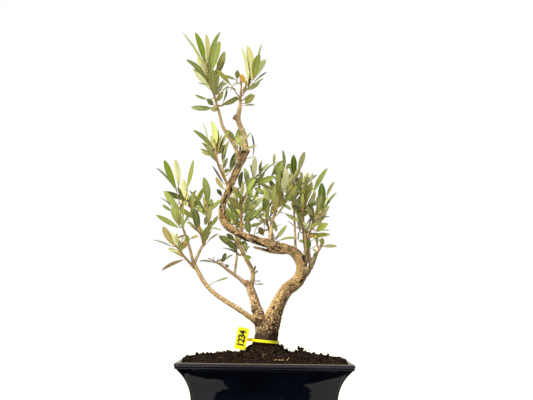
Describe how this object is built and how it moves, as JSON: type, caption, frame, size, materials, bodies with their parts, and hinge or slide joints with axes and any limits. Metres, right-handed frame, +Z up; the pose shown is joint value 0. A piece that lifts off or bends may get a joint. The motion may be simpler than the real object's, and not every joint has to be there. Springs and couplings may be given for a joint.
{
  "type": "potted olive bonsai",
  "caption": "Olive bonsai with a winding bare trunk, a low side bough and open sprays of narrow leaves, in a dark glazed rectangular pot with a loop label.",
  "frame": {"origin": "centre of the pot's flat underside, where the plant stands", "axes": "+Z up along the height, +X along the pot's long side towards the right of the front view, -Y towards the front"},
  "size_m": [0.2353, 0.1805, 0.4725],
  "materials": {
    "glaze": "gloss blue-black glaze with charcoal reflections",
    "soil": "rough, crumbly, dark brown peat",
    "bark": "rough tan bark, darker and flaking on the old wood",
    "leaf": "satin, olive green above and pale grey-green beneath",
    "label": "satin fluorescent yellow plastic"
  },
  "bodies": {
    "root": {"back_bough": "bark", "back_right_bough": "bark", "bend_twig": "bark", "foliage_back": "leaf", "foliage_back_centre": "leaf", "foliage_back_right": "leaf", "foliage_centre": "leaf", "foliage_centre_back": "leaf", "foliage_centre_front": "leaf", "foliage_centre_low": "leaf", "foliage_cut_end": "leaf", "foliage_left_high": "leaf", "foliage_left_inner": "leaf", "foliage_left_low": "leaf", "foliage_left_outer": "leaf", "foliage_low_left": "leaf", "foliage_mid_left": "leaf", "foliage_right_low": "leaf", "foliage_right_outer": "leaf", "foliage_right_upper": "leaf", "foliage_top_left": "leaf", "foliage_top_right": "leaf", "label_band": "label", "label_tag": "label", "leader": "bark", "left_bough": "bark", "left_fork_inner": "bark", "left_fork_outer": "bark", "middle_twig": "bark", "pot": "glaze", "right_bough": "bark", "right_shoot": "bark", "second_left": "bark", "second_trunk": "bark", "second_twig": "bark", "second_up": "bark", "soil": "soil", "straight_twig": "bark", "top_left_bough": "bark", "trunk": "bark", "trunk_crossing": "bark", "trunk_upper": "bark", "under_twig": "bark"}
  },
  "joints": []
}
